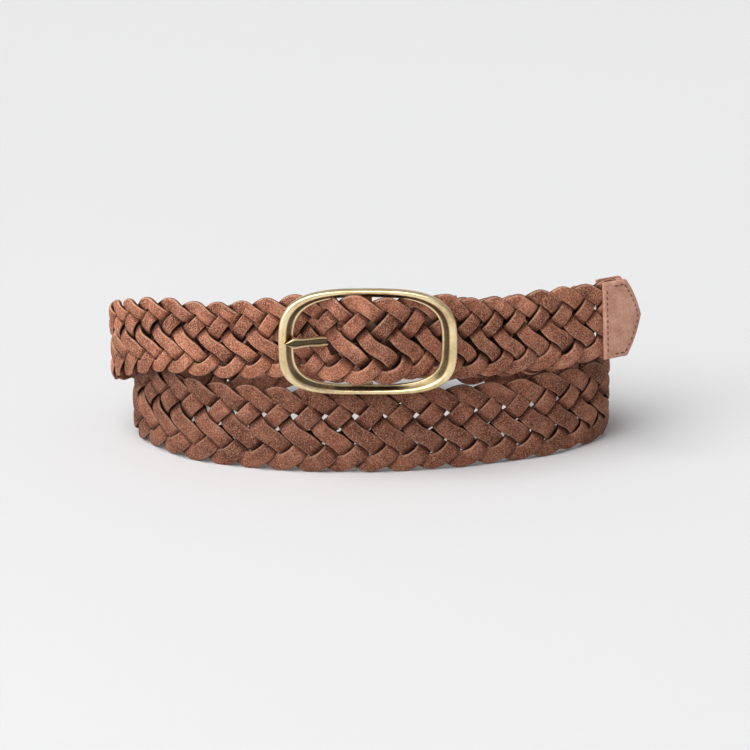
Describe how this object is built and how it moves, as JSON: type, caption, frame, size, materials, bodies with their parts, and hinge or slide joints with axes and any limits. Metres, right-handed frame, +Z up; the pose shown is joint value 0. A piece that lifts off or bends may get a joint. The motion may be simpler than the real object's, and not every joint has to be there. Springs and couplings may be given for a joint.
{
  "type": "braided leather belt",
  "caption": "Braided leather belt with an oval centre-bar buckle, fastened and coiled, standing on its edge; holds trousers at the waist.",
  "frame": {"origin": "middle of the coil's footprint, on the surface it stands on", "axes": "+Z up across the strap's width, +X along the front of the coil towards the belt's tip, -Y out of the buckle's front"},
  "size_m": [0.2044, 0.1102, 0.0741],
  "materials": {
    "lace_leather": "matt waxed, grained",
    "trim_leather": "matt, smooth grain",
    "buckle_metal": "brushed, antiqued"
  },
  "bodies": {
    "belt": {"lace_1": "lace_leather", "lace_2": "lace_leather", "lace_3": "lace_leather", "lace_4": "lace_leather", "lace_5": "lace_leather", "lace_6": "lace_leather", "chape": "trim_leather", "tip_cap_front": "trim_leather", "tip_cap_back": "trim_leather", "tip_filler": "trim_leather"},
    "buckle": {"buckle_frame": "buckle_metal"},
    "prong": {"prong": "buckle_metal"}
  },
  "joints": [
    {"name": "buckle_swivel", "type": "hinge", "parent": "belt", "child": "buckle", "pos_m": [-0.00237, -0.04346, 0.05314], "axis": [0, 0, 1], "range_deg": [-1.5, 1.5]},
    {"name": "prong_pivot", "type": "hinge", "parent": "buckle", "child": "prong", "pos_m": [-0.00237, -0.04346, 0.05314], "axis": [0, 0, 1], "range_deg": [0, 6]}
  ]
}
